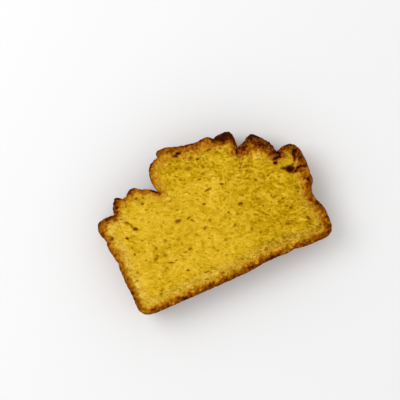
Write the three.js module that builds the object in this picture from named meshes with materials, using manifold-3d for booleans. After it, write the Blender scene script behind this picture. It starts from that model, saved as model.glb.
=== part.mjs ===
// A slice of sweet corn bread, cut off a loaf and lying on one of its two cut faces.
//
// Lengths are millimetres. +X runs across the loaf, +Y from its base crust to its domed top, and +Z is up,
// out of the upper cut face. The origin is on the resting face, under the middle of the slice.

import * as THREE from 'three';
import { mergeVertices } from 'three/addons/utils/BufferGeometryUtils.js';
import Module from 'manifold-3d';

// Driving dimensions.
const WIDTH = 113; // across the loaf, from ear to ear
const HEIGHT = 76.5; // from the base crust to the top of the dome
const THICKNESS = 22; // from cut face to cut face

// The outline of the slice, drawn anticlockwise around the upper cut face with its base on y = 0.
// Each stretch of crust runs on from the end of the one before, as a smooth curve through its points, and
// two stretches meet in a notch or a fissure of the crust.
//   shoulder  how far the crust leans out below the cut edge, at the middle of the stretch
//   foot      how far it draws in again towards the resting face
//   crag      how rough it is, from 0 against the tin to 1 where the top burst open
const BASE_LEFT = [-47, -0.2];
const CRUST = [
  {
    name: 'base', shoulder: 0.6, foot: 0.9, crag: 0.15,
    path: [[-30, -0.4], [8, -0.4], [15, 0.3], [24, 0.3], [28, 0], [32, 0.5], [37, -0.4], [45, -0.8],
      [50.5, -0.6], [53.3, 0.9], [54.7, 3.4], [55, 5.4]],
  },
  {
    name: 'right_wall', shoulder: 0.6, foot: 0.9, crag: 0.2,
    path: [[55.4, 9], [55.3, 13], [54.3, 16.6], [53.2, 19.8], [52.8, 22], [52.7, 23.6]],
  },
  {
    name: 'right_ear', shoulder: 1.5, foot: 2.4, crag: 0.7,
    path: [[53.4, 25.8], [54.8, 27.6], [55.9, 29], [55.8, 32], [56.4, 37], [56.4, 41.5], [55.9, 46.5],
      [54.6, 49.2], [52, 51.1], [49, 51.3], [46.8, 50.8], [44.6, 49.9]],
  },
  {
    name: 'right_crag', shoulder: 5.8, foot: 3.2, crag: 1,
    path: [[44.3, 51.5], [43.5, 55], [41.6, 58.2], [38.8, 61.5], [36.6, 63.4], [35.2, 63.7], [33.8, 62.9],
      [32.4, 61.7], [29.6, 61.2], [26.9, 60.3]],
  },
  {
    name: 'dark_crag', shoulder: 3.4, foot: 2.6, crag: 1,
    path: [[27.2, 62.5], [27.1, 66.5], [26.4, 69.1], [24.3, 70.3], [21, 70.2], [18.6, 70], [17.4, 69.5]],
  },
  {
    name: 'dome_top', shoulder: 1.6, foot: 2.2, crag: 0.6,
    path: [[16.4, 70.4], [14.9, 71.5], [11, 71.7], [7.5, 71.6], [4, 72.2], [0, 73.2], [-3.5, 74.3],
      [-6.5, 75.3], [-9.5, 75.7], [-12, 75.4], [-12.9, 74.4], [-13, 72.7]],
  },
  {
    name: 'dome_side', shoulder: 1.6, foot: 2.4, crag: 0.7,
    path: [[-15.5, 71.7], [-18.2, 70.3], [-20, 67.6], [-20.9, 64], [-20.9, 60], [-19.5, 54.9]],
  },
  {
    name: 'left_crag', shoulder: 2, foot: 2.6, crag: 0.9,
    path: [[-20.8, 56.7], [-23, 58.7], [-25.5, 60.1], [-27.6, 60.8], [-29.4, 62.6], [-31.5, 63.4],
      [-33.8, 62.7], [-36, 61], [-38, 60.3]],
  },
  {
    name: 'left_knob', shoulder: 2.2, foot: 2.4, crag: 1,
    path: [[-40, 61.9], [-41.4, 62.4], [-43, 61.2], [-44.5, 58.8], [-45.6, 54.8]],
  },
  {
    name: 'left_ear', shoulder: 2.2, foot: 2.2, crag: 0.8,
    path: [[-48.5, 55], [-52.5, 54.9], [-55.3, 53.5], [-56.6, 50.5], [-56.3, 47.8], [-55.2, 44.6],
      [-54.9, 42.6]],
  },
  {
    name: 'left_swell', shoulder: 0.8, foot: 1.2, crag: 0.4,
    path: [[-55.4, 40.2], [-55.2, 36.5], [-54.5, 33.3], [-53.8, 31]],
  },
  {
    name: 'left_wall', shoulder: 0.6, foot: 0.9, crag: 0.15,
    path: [[-54.5, 28], [-54.5, 25], [-54.8, 21], [-54.4, 16], [-54.3, 11], [-54.5, 6.5], [-53.6, 3],
      [-51.3, 0.8], BASE_LEFT],
  },
];
const HEART = new THREE.Vector3(0, 21, 0); // the whole outline is in sight from this point of the slice

// Tears and open pores of the upper cut face, each an ellipsoid that bites into it.
//   at     its middle;  long, wide, deep  its half sizes;  turn  its long axis, in degrees from +X
const TEARS = [
  { name: 'ear_cavity', at: [47.9, 38.7], long: 2.9, wide: 1.5, deep: 3.6, turn: -12 },
  { name: 'ear_cavity_left', at: [45, 40.4], long: 2.2, wide: 0.7, deep: 2.2, turn: -28 },
  { name: 'ear_cavity_right', at: [51.2, 38], long: 2, wide: 0.6, deep: 2, turn: -8 },
  { name: 'ear_crack', at: [52, 44.6], long: 3, wide: 0.7, deep: 2.2, turn: 78 },
  { name: 'ear_crack_top', at: [53.2, 46.6], long: 1.4, wide: 0.7, deep: 1.8, turn: 0 },
  { name: 'right_notch_tear', at: [43.7, 47.6], long: 1.8, wide: 0.7, deep: 3, turn: 42 },
  { name: 'right_notch_hole', at: [41.5, 44.9], long: 1.3, wide: 0.8, deep: 2.4, turn: 15 },
  { name: 'left_crack', at: [-41.2, 47.7], long: 3.6, wide: 0.55, deep: 2.2, turn: 120 },
  { name: 'left_crack_hole', at: [-38.6, 43.6], long: 1.3, wide: 0.8, deep: 2, turn: 150 },
  { name: 'middle_hole', at: [-16.7, 38.3], long: 1.8, wide: 1.05, deep: 2, turn: -4 },
  { name: 'dome_hole', at: [-3.2, 69.7], long: 1.35, wide: 0.8, deep: 2, turn: 14 },
  { name: 'dome_dent', at: [-0.8, 60.8], long: 2.2, wide: 1.2, deep: 1, turn: -8 },
  { name: 'right_hole', at: [16.5, 33.2], long: 1.2, wide: 0.85, deep: 1.8, turn: -22 },
  { name: 'low_slit', at: [-28.9, 20.2], long: 1.7, wide: 0.5, deep: 1.5, turn: -20 },
  { name: 'low_dent', at: [34.7, 13.8], long: 1.7, wide: 0.9, deep: 1.1, turn: -20 },
];

// Fineness of the faceted surface.
const RINGS = 22; // rings of facets from the heart of the upper face to its edge
const RIM_POINTS = 8 * RINGS; // points round that edge
const CALM = 9; // spread, in rim points, of the average that calms the outline for the inner rings
const CALM_POWER = 2; // how soon the calm rings give way to the true outline
const WALL_DEPTHS = [0.03, 0.09, 0.18, 0.3, 0.44, 0.58, 0.72, 0.85, 0.95, 1]; // as parts of THICKNESS

// Rounding of the crust's two edges: how deep it reaches, at least and for each millimetre of lean.
const EDGE_REACH = 1.6;
const EDGE_SLOPE = 1.25;

// Relief. Each pattern of smooth noise has its spacing and the seed that picks it.
const LUMPS = { spacing: 7, seed: 11 }; // rounded lumps of the burst crust, with creases between them
const SWELLS = { spacing: 11, seed: 23 }; // slower rise and fall of the same crust
const DRIFTS = { spacing: 17, seed: 37 }; // slow waves in which the fissures run down the crust
const DIMPLES = { spacing: 9, seed: 41 }; // low waves of the cut face
const LUMP_REACH = 6; // depth below the cut face at which the lumps reach their full height
const CREASE_DEPTH = 1.9; // depth of the creases where the crust is all crags
const CREASE_WIDTH = 0.55; // how much of the noise's range a crease takes up
const SWELL_DEPTH = 1.7;
const DRIFT = 1.4; // how far a fissure strays sideways at the top
const TIN_TOP = 30; // height up the slice from which the crust is free to stray
const FREE_FROM = 20; // further up it strays in full
const DIMPLE_DEPTH = 0.5;
const RIM_WIDTH = 3; // the cut face stays level this far in from the crust's edge

const NOISE_SCALE = 1.7; // brings the noise to about the range from -1 to 1
const WELD = 0.01; // vertices nearer than this become one
const CRUMB_COLOR = 0xd6ac22;

// A fixed number from 0 to 1 for one cell of a lattice: its whole numbers are multiplied by large odd
// numbers and summed, and the bits of the sum are folded over themselves.
function hashed(cell, seed) {
  const factors = [374761393, 668265263, 2246822519];
  let bits = Math.imul(seed, 3266489917);
  cell.forEach((number, axis) => {
    bits += Math.imul(number, factors[axis]);
  });
  bits = Math.imul(bits ^ (bits >>> 15), 2246822519);
  bits = Math.imul(bits ^ (bits >>> 13), 3266489917);
  return ((bits ^ (bits >>> 16)) >>> 0) / 2 ** 32;
}

// Smooth noise that swings about 0, mostly within -1 to 1. Each corner of a cubic lattice has a random
// slope; a place takes from its eight corners the slope times the way to it, faded along each axis.
function smoothNoise(place, { spacing, seed }) {
  const scaled = place.map((value) => value / spacing);
  const base = scaled.map(Math.floor);
  const inside = scaled.map((value, axis) => value - base[axis]);
  const fade = inside.map((t) => t ** 3 * (t * (t * 6 - 15) + 10));
  let total = 0;
  for (let corner = 0; corner < 8; corner += 1) {
    const step = [corner & 1, (corner >> 1) & 1, corner >> 2];
    const cell = base.map((value, axis) => value + step[axis]);
    const turn = 2 * Math.PI * hashed(cell, seed);
    const lift = 2 * hashed(cell, seed + 1) - 1;
    const flat = Math.sqrt(1 - lift * lift);
    const slope = [flat * Math.cos(turn), flat * Math.sin(turn), lift];
    const weight = fade.reduce((product, t, axis) => product * (step[axis] ? t : 1 - t), 1);
    total += weight * slope.reduce((sum, part, axis) => sum + part * (inside[axis] - step[axis]), 0);
  }
  return NOISE_SCALE * total;
}

// The smooth curve of one stretch of crust, from the end of the last one through its own points.
function stretchCurve(start, path) {
  const points = [start, ...path].map(([x, y]) => new THREE.Vector3(x, y, 0));
  return new THREE.CatmullRomCurve3(points, false, 'centripetal');
}

// Points at even steps along the whole outline, with one exactly in every notch.
// Each point carries the direction away from the heart, and how its stretch leans and crumbles there.
function outlinePoints() {
  const starts = [BASE_LEFT, ...CRUST.map(({ path }) => path.at(-1))];
  const curves = CRUST.map(({ path }, i) => stretchCurve(starts[i], path));
  const lengths = curves.map((curve) => curve.getLength());
  const whole = lengths.reduce((sum, length) => sum + length, 0);
  const points = [];
  let travelled = 0;
  curves.forEach((curve, i) => {
    const first = Math.round((travelled / whole) * RIM_POINTS);
    travelled += lengths[i];
    const count = Math.round((travelled / whole) * RIM_POINTS) - first;
    for (let step = 0; step < count; step += 1) {
      const along = step / count;
      const { x, y } = curve.getPointAt(along);
      const away = new THREE.Vector3(x, y, 0).sub(HEART).normalize();
      const swell = Math.sqrt(Math.sin(Math.PI * along));
      const { shoulder, foot, crag } = CRUST[i];
      points.push({ x, y, away, shoulder: shoulder * swell, foot: foot * swell, crag });
    }
  });
  return points;
}

// How far the crust lies back at a distance from a cut face: the whole lean at that face, falling to
// nothing along a quarter of an ellipse.
function edgeInset(lean, distance) {
  const short = Math.max(0, 1 - distance / (EDGE_REACH + EDGE_SLOPE * lean));
  return lean * (1 - Math.sqrt(1 - short * short));
}

// How far the crust is drawn in from one point of the outline at a height above the resting face: by the
// rounding of both edges, by creases where the noise of the lumps crosses 0, and by slow swells.
function crustInset({ x, y, shoulder, foot, crag }, height) {
  const depth = THICKNESS - height;
  const place = [x, y, height];
  const crease = Math.max(0, 1 - Math.abs(smoothNoise(place, LUMPS)) / CREASE_WIDTH) ** 2;
  const swell = 0.5 + 0.5 * smoothNoise(place, SWELLS);
  const relief = crag * Math.min(1, depth / LUMP_REACH) * (CREASE_DEPTH * crease + SWELL_DEPTH * swell);
  return edgeInset(shoulder, depth) + edgeInset(foot, height) + relief;
}

// The crust below one point of the outline, from the upper cut face down. It is drawn in towards the
// heart, so that no fold can cross another, and less so by its least inset, so that it comes out to the
// outline on its way down. Then each level drifts sideways in slow waves, more so above the tin.
function crustColumn(point) {
  const heights = [0, ...WALL_DEPTHS].map((part) => THICKNESS * (1 - part));
  const insets = heights.map((height) => crustInset(point, height));
  const least = Math.min(...insets);
  return heights.map((height, level) => {
    const inset = insets[level] - least;
    const x = point.x - point.away.x * inset;
    const y = point.y - point.away.y * inset;
    const settled = Math.min(1, (THICKNESS - height) / LUMP_REACH);
    const free = THREE.MathUtils.clamp((y - TIN_TOP) / FREE_FROM, 0, 1);
    const stray = DRIFT * free * settled * smoothNoise([x, y, height], DRIFTS);
    return new THREE.Vector3(x + stray, y, height);
  });
}

// Where a point of the unit square's edge falls along the rim, in rim points from its lower left corner.
function rimPlace(u, v) {
  if (v === -1) return (u + 1) * RINGS;
  if (u === 1) return (v + 3) * RINGS;
  if (v === 1) return (5 - u) * RINGS;
  return ((7 - v) * RINGS) % RIM_POINTS;
}

// The rim with its lobes and notches averaged away, point for point.
function calmRim(rim) {
  const reach = 3 * CALM;
  return rim.map((_, i) => {
    const sum = new THREE.Vector3();
    let weights = 0;
    for (let step = -reach; step <= reach; step += 1) {
      const weight = Math.exp(-0.5 * (step / CALM) ** 2);
      sum.addScaledVector(rim[(i + step + RIM_POINTS) % RIM_POINTS], weight);
      weights += weight;
    }
    return sum.divideScalar(weights);
  });
}

// The point at any place along a closed ring of points.
function pointAlong(ring, place) {
  const before = Math.floor(place);
  return ring[before % ring.length].clone().lerp(ring[(before + 1) % ring.length], place - before);
}

// The point of the upper cut face for u and v from -1 to 1. Squares round the middle of the parameter
// plane become rings of the face: calm near its middle, and the true outline at its edge.
function facePoint(rim, calm, u, v) {
  const reach = Math.max(Math.abs(u), Math.abs(v));
  const place = reach === 0 ? 0 : rimPlace(u / reach, v / reach);
  const inner = pointAlong(calm, place);
  const lobes = pointAlong(rim, place).sub(inner);
  const point = inner.sub(HEART).multiplyScalar(reach).add(HEART);
  point.addScaledVector(lobes, reach ** CALM_POWER);
  point.z = faceHeight(point.x, point.y, reach);
  return point;
}

// The crumb sinks in low waves between the crusts, and is level along the crust's edge.
function faceHeight(x, y, reach) {
  const fromRim = (1 - reach) * (HEIGHT / 2);
  const sunk = DIMPLE_DEPTH * (0.5 + 0.5 * smoothNoise([x, y, 0], DIMPLES));
  return THICKNESS - sunk * Math.min(1, fromRim / RIM_WIDTH);
}

// Twice the area of a triangle of the upper face as seen from above, and below zero if it is turned over.
function facing(a, b, c) {
  return (b.x - a.x) * (c.y - a.y) - (c.x - a.x) * (b.y - a.y);
}

// Splits a four-cornered facet of the upper face along the diagonal that leaves the fuller halves.
function splitFacet(vertices, [a, b, c, d]) {
  const [pa, pb, pc, pd] = [a, b, c, d].map((index) => vertices[index]);
  const across = Math.min(facing(pa, pb, pc), facing(pa, pc, pd));
  const other = Math.min(facing(pb, pc, pd), facing(pb, pd, pa));
  return across >= other ? [[a, b, c], [a, c, d]] : [[b, c, d], [b, d, a]];
}

// The facets between two rows of vertices that run round the crust, one below the other.
function bandFacets(above, below) {
  return above.flatMap((upper, i) => {
    const next = (i + 1) % RIM_POINTS;
    return [[upper, below[i], below[next]], [upper, below[next], above[next]]];
  });
}

// The whole slice as one closed surface: a grid for the upper face, rows of crust points down the sides,
// and a flat fan of facets inside the lowest row as the resting face.
function sliceGeometry() {
  const points = outlinePoints();
  const columns = points.map(crustColumn);
  const rim = columns.map((column) => column[0]);
  const calm = calmRim(rim);
  const vertices = [];
  const triangles = [];
  const side = 2 * RINGS + 1;
  for (let row = 0; row < side; row += 1) {
    for (let column = 0; column < side; column += 1) {
      vertices.push(facePoint(rim, calm, column / RINGS - 1, row / RINGS - 1));
    }
  }
  for (let row = 0; row + 1 < side; row += 1) {
    for (let column = 0; column + 1 < side; column += 1) {
      const corner = row * side + column;
      triangles.push(...splitFacet(vertices, [corner, corner + 1, corner + side + 1, corner + side]));
    }
  }
  const last = side - 1;
  let above = points.map((_, i) => {
    const leg = Math.floor(i / (2 * RINGS));
    const step = i % (2 * RINGS);
    const corners = [[0, step], [step, last], [last, last - step], [last - step, 0]];
    const [row, column] = corners[leg];
    return row * side + column;
  });
  for (let level = 1; level <= WALL_DEPTHS.length; level += 1) {
    const below = columns.map((column) => vertices.push(column[level]) - 1);
    triangles.push(...bandFacets(above, below));
    above = below;
  }
  const hub = vertices.push(HEART) - 1;
  above.forEach((corner, i) => triangles.push([hub, above[(i + 1) % RIM_POINTS], corner]));
  const geometry = new THREE.BufferGeometry().setFromPoints(vertices);
  geometry.setIndex(triangles.flat());
  return geometry;
}

// One tear or pore, as an ellipsoid whose middle lies in the upper cut face.
function tearGeometry({ at, long, wide, deep, turn }) {
  const geometry = new THREE.SphereGeometry(1, 10, 8);
  geometry.scale(long, wide, deep);
  geometry.rotateZ(THREE.MathUtils.degToRad(turn));
  geometry.translate(at[0], at[1], THICKNESS);
  return geometry;
}

const wasm = await Module();
wasm.setup();

// A closed geometry as a solid for cutting.
function solidOf(geometry) {
  const bare = new THREE.BufferGeometry();
  bare.setAttribute('position', geometry.getAttribute('position'));
  bare.setIndex(geometry.index);
  const merged = mergeVertices(bare);
  return new wasm.Manifold(new wasm.Mesh({
    numProp: 3,
    vertProperties: merged.getAttribute('position').array,
    triVerts: new Uint32Array(merged.index.array),
  }));
}

// A solid back as a geometry.
function geometryOf(solid) {
  const { vertProperties, triVerts } = solid.getMesh();
  const geometry = new THREE.BufferGeometry();
  geometry.setAttribute('position', new THREE.BufferAttribute(vertProperties, 3));
  geometry.setIndex(new THREE.BufferAttribute(triVerts, 1));
  return geometry;
}

// Brings a geometry to the driving dimensions, with its resting face on z = 0 round the origin.
function fitToSize(geometry) {
  geometry.computeBoundingBox();
  const box = geometry.boundingBox;
  const size = box.getSize(new THREE.Vector3());
  const middle = box.getCenter(new THREE.Vector3());
  geometry.translate(-middle.x, -middle.y, -box.min.z);
  geometry.scale(WIDTH / size.x, HEIGHT / size.y, THICKNESS / size.z);
  return geometry;
}

// Snaps every vertex to a fine lattice, joins those that meet there, and drops the facets that collapse.
function weld(geometry) {
  const places = geometry.getAttribute('position').array;
  places.forEach((place, i) => {
    places[i] = Math.round(place / WELD) * WELD;
  });
  const merged = mergeVertices(geometry, WELD / 10);
  const corners = merged.index.array;
  const kept = [];
  for (let i = 0; i < corners.length; i += 3) {
    const [a, b, c] = corners.subarray(i, i + 3);
    if (a !== b && b !== c && c !== a) kept.push(a, b, c);
  }
  merged.setIndex(kept);
  return merged;
}

// The slice with every tear cut out of it.
function tornSlice() {
  const whole = solidOf(sliceGeometry());
  return geometryOf(TEARS.reduce((solid, tear) => solid.subtract(solidOf(tearGeometry(tear))), whole));
}

const sliceMesh = new THREE.Mesh(
  weld(fitToSize(tornSlice())),
  new THREE.MeshStandardMaterial({ color: CRUMB_COLOR, roughness: 0.9, metalness: 0 }),
);
sliceMesh.name = 'corn_bread_slice';
sliceMesh.geometry.computeVertexNormals();

const cornBread = new THREE.Group();
cornBread.add(sliceMesh);

export default cornBread;
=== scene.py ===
"""The looks of a slice of sweet corn bread that lies on a cut face: torn golden crumb in a browned crust.

Shapes are worked out in millimetres, in the drawing frame of the slice: x runs across the loaf from its
middle, y up from the base crust, and z up from the resting face. A finished mesh is in metres, in the
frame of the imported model.
"""

import logging
import math
from dataclasses import dataclass, field
from enum import Enum
from typing import Self

import bpy
import numpy as np
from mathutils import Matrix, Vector


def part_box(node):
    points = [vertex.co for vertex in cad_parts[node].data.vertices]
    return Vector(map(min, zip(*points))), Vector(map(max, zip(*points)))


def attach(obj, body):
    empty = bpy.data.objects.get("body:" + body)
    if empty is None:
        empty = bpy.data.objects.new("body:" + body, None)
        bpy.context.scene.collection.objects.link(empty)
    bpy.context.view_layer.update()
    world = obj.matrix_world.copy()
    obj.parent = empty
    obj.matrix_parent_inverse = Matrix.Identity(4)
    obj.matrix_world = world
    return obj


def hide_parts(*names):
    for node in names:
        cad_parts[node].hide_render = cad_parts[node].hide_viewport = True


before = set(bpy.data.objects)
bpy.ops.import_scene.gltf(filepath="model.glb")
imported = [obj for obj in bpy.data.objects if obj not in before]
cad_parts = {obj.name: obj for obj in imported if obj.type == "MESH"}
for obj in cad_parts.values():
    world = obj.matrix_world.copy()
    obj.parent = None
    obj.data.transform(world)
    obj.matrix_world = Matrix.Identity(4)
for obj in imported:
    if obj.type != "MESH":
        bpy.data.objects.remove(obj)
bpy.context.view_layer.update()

log = logging.getLogger("corn_bread")

NODE = "corn_bread_slice"
MM = 0.001
THICKNESS = (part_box(NODE)[1].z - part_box(NODE)[0].z) / MM


# ---- Patterns that wander: each gives the same result each time.


MIXERS = (374761393, 668265263, 2246822519, 3266489917)  # large odd numbers that stir bits well
MARGIN = 0.15  # how near its cell's side a strewn point may lie, in pitches


def hashed(cells: np.ndarray, seed: int) -> np.ndarray:
    """Give every whole-numbered cell a fixed number from 0 to 1.

    The cell's numbers are multiplied by large odd numbers and summed, and the bits of the sum are
    folded over themselves three times.

    Args:
        cells: Whole numbers, three for each cell.
        seed: Picks one of many independent sets of numbers.

    Returns:
        One number for each cell.
    """
    keys = cells.astype(np.int64).astype(np.uint32) * np.array(MIXERS[:3], dtype=np.uint32)
    bits = keys.sum(axis=-1, dtype=np.uint32) + np.uint32(seed * MIXERS[3] & 0xFFFFFFFF)
    for shift, mixer in ((15, MIXERS[2]), (13, MIXERS[3])):
        bits = (bits ^ (bits >> np.uint32(shift))) * np.uint32(mixer)
    return (bits ^ (bits >> np.uint32(16))) / 2.0**32


@dataclass(frozen=True)
class Noise:
    """Smooth noise in space.

    Attributes:
        spacing: The size of its features.
        seed: Picks one of many independent patterns.
    """

    spacing: float
    seed: int

    def at(self, points: np.ndarray) -> np.ndarray:
        """Read the noise, which swings about 0, mostly within -1 to 1.

        Each corner of a cubic lattice has a random slope. A point takes from its eight corners the
        slope times the way to it, faded along each axis by 6t^5 - 15t^4 + 10t^3.

        Args:
            points: Places, with three numbers each.

        Returns:
            One number for each place.
        """
        scaled = points / self.spacing
        base = np.floor(scaled)
        inside = scaled - base
        fade = inside**3 * (inside * (inside * 6.0 - 15.0) + 10.0)
        total = np.zeros(points.shape[:-1])
        for corner in np.ndindex(2, 2, 2):
            cell = base + corner
            turn = 2.0 * np.pi * hashed(cell, self.seed)
            lift = 2.0 * hashed(cell, self.seed + 1) - 1.0
            flat = np.sqrt(1.0 - lift**2)
            slope = np.stack([flat * np.cos(turn), flat * np.sin(turn), lift], axis=-1)
            weight = np.prod(np.where(corner, fade, 1.0 - fade), axis=-1)
            total += weight * np.sum(slope * (inside - corner), axis=-1)
        return 1.7 * total


@dataclass(frozen=True)
class Layers:
    """Noises laid over one another.

    Attributes:
        parts: The strength, the spacing and the seed of each.
    """

    parts: tuple[tuple[float, float, int], ...]

    def at(self, points: np.ndarray) -> np.ndarray:
        """Sum the noises at points, each times its strength."""
        return sum(strength * Noise(spacing, seed).at(points) for strength, spacing, seed in self.parts)


@dataclass(frozen=True)
class Stray:
    """A shift in the plane that wanders from place to place.

    Attributes:
        reach: How far it goes.
        spacing: The size of its waves.
        seeds: Its noises along x and along y.
    """

    reach: float
    spacing: float
    seeds: tuple[int, int]

    def at(self, points: np.ndarray) -> np.ndarray:
        """Read the shift of points along x and y."""
        return self.reach * np.stack([Noise(self.spacing, seed).at(points) for seed in self.seeds], axis=-1)


@dataclass(frozen=True)
class Scatter:
    """Points strewn one to each cell of a lattice, through space or over the plane at height 0.

    Attributes:
        spacing: The lattice's pitch.
        seed: Picks one of many independent scatters.
        flat: Whether the points lie in the plane.
    """

    spacing: float
    seed: int
    flat: bool = False

    def near(self, points: np.ndarray) -> tuple[np.ndarray, np.ndarray]:
        """Find the nearest strewn point to each place.

        Args:
            points: Places, with three numbers each.

        Returns:
            The distance to it in pitches, and a number from 0 to 1 that is that point's own.
        """
        scaled = points / self.spacing
        base = np.floor(scaled)
        nearest = np.full(points.shape[:-1], np.inf)
        own = np.zeros(points.shape[:-1])
        for step in np.ndindex(3, 3, 1 if self.flat else 3):
            cell = base + step - 1.0
            inside = np.stack([hashed(cell, self.seed + axis) for axis in range(3)], axis=-1)
            apart = scaled - cell - MARGIN - (1.0 - 2.0 * MARGIN) * inside
            away = np.linalg.norm(apart[..., :2] if self.flat else apart, axis=-1)
            closer = away < nearest
            nearest = np.where(closer, away, nearest)
            own = np.where(closer, hashed(cell, self.seed + 3), own)
        return nearest, own


def ease(values: np.ndarray, low: float, high: float) -> np.ndarray:
    """Rise smoothly from 0 at low to 1 at high, as 3t^2 - 2t^3."""
    t = np.clip((values - low) / (high - low), 0.0, 1.0)
    return t * t * (3.0 - 2.0 * t)


def blotched(noise: np.ndarray) -> np.ndarray:
    """Turn noise into blotches with clear edges, from -1 to 1, as tanh(2.2 n)."""
    return np.tanh(2.2 * noise)


# ---- The outline of the slice.


class Rise(Enum):
    """How a stretch of the crust was baked."""

    TIN = "against the tin"
    EAR = "rolled over the edge of the tin"
    BURST = "burst open above the tin"


@dataclass(frozen=True)
class Stretch:
    """One stretch of crust, from the end of the one before it to a notch or fissure.

    Attributes:
        name: What the stretch is.
        rise: How it was baked.
        shoulder: How far it leans out below the cut edge, at its middle.
        foot: How far it draws in again towards the resting face.
        crag: How rough it is, from 0 to 1.
        thick: How far its brown reaches in over the cut face.
        fade: The power by which the brown fades on that way, 1 for evenly.
        bake: How dark it is outside, from 0 to 1.
        cut: How dark it is at the cut edge.
        pale: How pale and fine the crumb is just inside it, from 0 to 1.
        path: The points that its smooth curve runs through.
    """

    name: str
    rise: Rise
    shoulder: float
    foot: float
    crag: float
    thick: float
    fade: float
    bake: float
    cut: float
    pale: float
    path: tuple[tuple[float, float], ...]


BASE_LEFT = (-47.0, -0.2)
CRUST = (
    Stretch(
        "base", Rise.TIN, 0.6, 0.9, 0.15, 5.3, 1.5, 0.74, 0.72, 0.6,
        ((-30, -0.4), (8, -0.4), (15, 0.3), (24, 0.3), (28, 0), (32, 0.5), (37, -0.4), (45, -0.8),
         (50.5, -0.6), (53.3, 0.9), (54.7, 3.4), (55, 5.4)),
    ),
    Stretch(
        "right_wall", Rise.TIN, 0.6, 0.9, 0.2, 6.6, 1.6, 0.74, 0.72, 0.25,
        ((55.4, 9), (55.3, 13), (54.3, 16.6), (53.2, 19.8), (52.8, 22), (52.7, 23.6)),
    ),
    Stretch(
        "right_ear", Rise.EAR, 1.5, 2.4, 0.7, 6.2, 2.0, 0.72, 0.6, 0.1,
        ((53.4, 25.8), (54.8, 27.6), (55.9, 29), (55.8, 32), (56.4, 37), (56.4, 41.5), (55.9, 46.5),
         (54.6, 49.2), (52, 51.1), (49, 51.3), (46.8, 50.8), (44.6, 49.9)),
    ),
    Stretch(
        "right_crag", Rise.BURST, 5.8, 3.2, 1.0, 5.6, 1.4, 0.94, 0.74, 0.0,
        ((44.3, 51.5), (43.5, 55), (41.6, 58.2), (38.8, 61.5), (36.6, 63.4), (35.2, 63.7), (33.9, 62.8),
         (32.8, 61.4), (31.2, 61.1), (29.4, 61), (26.9, 60.3)),
    ),
    Stretch(
        "dark_crag", Rise.BURST, 3.4, 2.6, 1.0, 6.2, 1.5, 0.96, 0.74, 0.0,
        ((27.2, 62.5), (27.1, 66.5), (26.4, 69.1), (24.3, 70.3), (21, 70.2), (18.6, 70), (17.4, 69.5)),
    ),
    Stretch(
        "dome_top", Rise.BURST, 1.6, 2.2, 0.6, 6.6, 0.75, 0.92, 0.66, 0.0,
        ((16.4, 70.4), (14.9, 71.5), (11, 71.7), (7.5, 71.6), (4, 72.2), (0, 73.2), (-3.5, 74.3),
         (-6.5, 75.3), (-9.5, 75.7), (-12, 75.4), (-12.9, 74.4), (-13, 72.7)),
    ),
    Stretch(
        "dome_side", Rise.BURST, 1.6, 2.4, 0.7, 6.0, 0.35, 1.0, 0.62, 0.0,
        ((-15.5, 71.7), (-18.2, 70.3), (-20, 67.6), (-20.9, 64), (-20.9, 60), (-19.5, 54.9)),
    ),
    Stretch(
        "left_crag", Rise.BURST, 2.0, 2.6, 0.9, 3.2, 0.9, 1.0, 0.56, 0.1,
        ((-20.8, 56.7), (-23, 58.7), (-25.5, 60.1), (-27.6, 60.8), (-29.4, 62.6), (-31.5, 63.4),
         (-33.8, 62.7), (-36, 61), (-38, 60.3)),
    ),
    Stretch(
        "left_knob", Rise.BURST, 2.2, 2.4, 1.0, 4.4, 1.0, 1.0, 0.86, 0.1,
        ((-40, 61.9), (-41.4, 62.4), (-43, 61.2), (-44.5, 58.8), (-45.6, 54.8)),
    ),
    Stretch(
        "left_ear", Rise.EAR, 2.2, 2.2, 0.8, 4.2, 1.5, 0.86, 0.58, 0.5,
        ((-48.5, 55), (-52.5, 54.9), (-55.3, 53.5), (-56.6, 50.5), (-56.3, 47.8), (-55.2, 44.6),
         (-55.4, 42.6)),
    ),
    Stretch(
        "left_swell", Rise.EAR, 0.8, 1.2, 0.4, 4.4, 1.6, 0.7, 0.55, 0.8,
        ((-55.4, 40.2), (-55.2, 36.5), (-54.5, 33.3), (-53.8, 31)),
    ),
    Stretch(
        "left_wall", Rise.TIN, 0.6, 0.9, 0.15, 3.8, 1.8, 0.73, 0.67, 0.65,
        ((-54.5, 28), (-54.5, 25), (-54.8, 21), (-54.4, 16), (-54.3, 11), (-54.5, 6.5), (-53.6, 3),
         (-51.3, 0.8), BASE_LEFT),
    ),
)


def smooth_curve(points: np.ndarray, per_span: int = 48) -> np.ndarray:
    """Carry a smooth curve through points.

    It is the centripetal Catmull-Rom curve: between two points it is the cubic that has, at each of
    them, the mean slope of its two neighbours, weighted by the square roots of the distances.

    Args:
        points: The points, one row of two numbers each.
        per_span: Steps between one point and the next.

    Returns:
        The points of the curve, from the first point to the last.
    """
    ends = np.vstack([2.0 * points[0] - points[1], points, 2.0 * points[-1] - points[-2]])
    gaps = np.sqrt(np.linalg.norm(np.diff(ends, axis=0), axis=1))
    t = np.linspace(0.0, 1.0, per_span, endpoint=False)[:, None]
    spans = []
    for i in range(1, len(ends) - 2):
        before, at, to, after = ends[i - 1 : i + 3]
        g0, g1, g2 = gaps[i - 1 : i + 2]
        leave = ((at - before) / g0 - (to - before) / (g0 + g1) + (to - at) / g1) * g1
        reach = ((to - at) / g1 - (after - at) / (g1 + g2) + (after - to) / g2) * g1
        spans.append(
            (2 * t**3 - 3 * t**2 + 1) * at
            + (t**3 - 2 * t**2 + t) * leave
            + (3 * t**2 - 2 * t**3) * to
            + (t**3 - t**2) * reach
        )
    return np.vstack([*spans, points[-1:]])


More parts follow.
